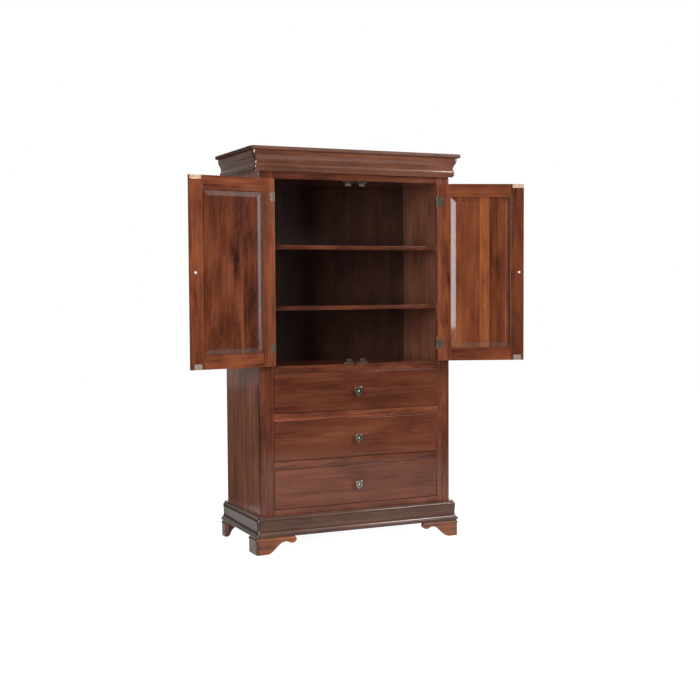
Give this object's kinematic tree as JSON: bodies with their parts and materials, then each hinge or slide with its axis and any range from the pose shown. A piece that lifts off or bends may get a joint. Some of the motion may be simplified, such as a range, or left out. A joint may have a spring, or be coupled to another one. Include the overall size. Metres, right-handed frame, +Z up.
{
  "type": "tv armoire",
  "caption": "Tall wooden cabinet with a crown moulding, raised-panel doors on a shelved bay, drawers below and ogee bracket feet.",
  "frame": {"origin": "on the floor, at the middle of the footprint of the whole piece with its doors open as pictured", "axes": "+X to the viewer's right along the front, +Y from the front to the back, +Z up"},
  "size_m": [1.7686, 0.6854, 1.98],
  "materials": {
    "case_cherry": "satin",
    "frame_cherry": "gloss",
    "door_cherry": "gloss",
    "panel_cherry": "gloss",
    "drawer_box_wood": "satin",
    "aged_nickel": "satin",
    "strike_brass": "satin",
    "zinc_steel": "satin"
  },
  "bodies": {
    "cabinet": {"back_panel": "case_cherry", "base_moulding_front": "frame_cherry", "base_moulding_left": "frame_cherry", "base_moulding_right": "frame_cherry", "bottom_drawer_divider": "frame_cherry", "crown_moulding_front": "frame_cherry", "crown_moulding_left": "frame_cherry", "crown_moulding_right": "frame_cherry", "crown_top": "frame_cherry", "left_back_foot": "frame_cherry", "left_face_stile": "frame_cherry", "left_front_foot": "frame_cherry", "left_lower_catch": "zinc_steel", "left_lower_hinge_frame_leaf": "aged_nickel", "left_side_panel": "case_cherry", "left_upper_catch": "zinc_steel", "left_upper_hinge_frame_leaf": "aged_nickel", "lower_drawer_divider": "frame_cherry", "lower_shelf": "case_cherry", "middle_deck": "frame_cherry", "right_back_foot": "frame_cherry", "right_face_stile": "frame_cherry", "right_front_foot": "frame_cherry", "right_lower_catch": "zinc_steel", "right_lower_hinge_frame_leaf": "aged_nickel", "right_side_panel": "case_cherry", "right_upper_catch": "zinc_steel", "right_upper_hinge_frame_leaf": "aged_nickel", "top_deck": "frame_cherry", "upper_drawer_divider": "frame_cherry", "upper_shelf": "case_cherry"},
    "left_door": {"left_door_bottom_rail": "door_cherry", "left_door_bottom_strike": "zinc_steel", "left_door_hinge_stile": "door_cherry", "left_door_meeting_stile": "door_cherry", "left_door_panel": "panel_cherry", "left_door_pull": "aged_nickel", "left_door_top_rail": "door_cherry", "left_door_top_strike": "strike_brass", "left_lower_hinge_door_leaf": "aged_nickel", "left_upper_hinge_door_leaf": "aged_nickel"},
    "right_door": {"right_door_bottom_rail": "door_cherry", "right_door_bottom_strike": "zinc_steel", "right_door_hinge_stile": "door_cherry", "right_door_meeting_stile": "door_cherry", "right_door_panel": "panel_cherry", "right_door_pull": "aged_nickel", "right_door_top_rail": "door_cherry", "right_door_top_strike": "strike_brass", "right_lower_hinge_door_leaf": "aged_nickel", "right_upper_hinge_door_leaf": "aged_nickel"},
    "top_drawer": {"top_drawer_front": "frame_cherry", "top_drawer_box": "drawer_box_wood", "top_drawer_pull": "aged_nickel"},
    "middle_drawer": {"middle_drawer_front": "frame_cherry", "middle_drawer_box": "drawer_box_wood", "middle_drawer_pull": "aged_nickel"},
    "bottom_drawer": {"bottom_drawer_front": "frame_cherry", "bottom_drawer_box": "drawer_box_wood", "bottom_drawer_pull": "aged_nickel"}
  },
  "joints": [
    {"name": "left_door_hinge", "type": "hinge", "parent": "cabinet", "child": "left_door", "pos_m": [-0.43994, -0.16513, 1.373], "axis": [0, 0, 1], "range_deg": [-8, 171.5]},
    {"name": "right_door_hinge", "type": "hinge", "parent": "cabinet", "child": "right_door", "pos_m": [0.46286, -0.16513, 1.373], "axis": [0, 0, 1], "range_deg": [-160, 18]},
    {"name": "top_drawer_slide", "type": "slide", "parent": "cabinet", "child": "top_drawer", "axis": [0, -1, 0], "range_m": [0, 0.38]},
    {"name": "middle_drawer_slide", "type": "slide", "parent": "cabinet", "child": "middle_drawer", "axis": [0, -1, 0], "range_m": [0, 0.38]},
    {"name": "bottom_drawer_slide", "type": "slide", "parent": "cabinet", "child": "bottom_drawer", "axis": [0, -1, 0], "range_m": [0, 0.38]}
  ]
}
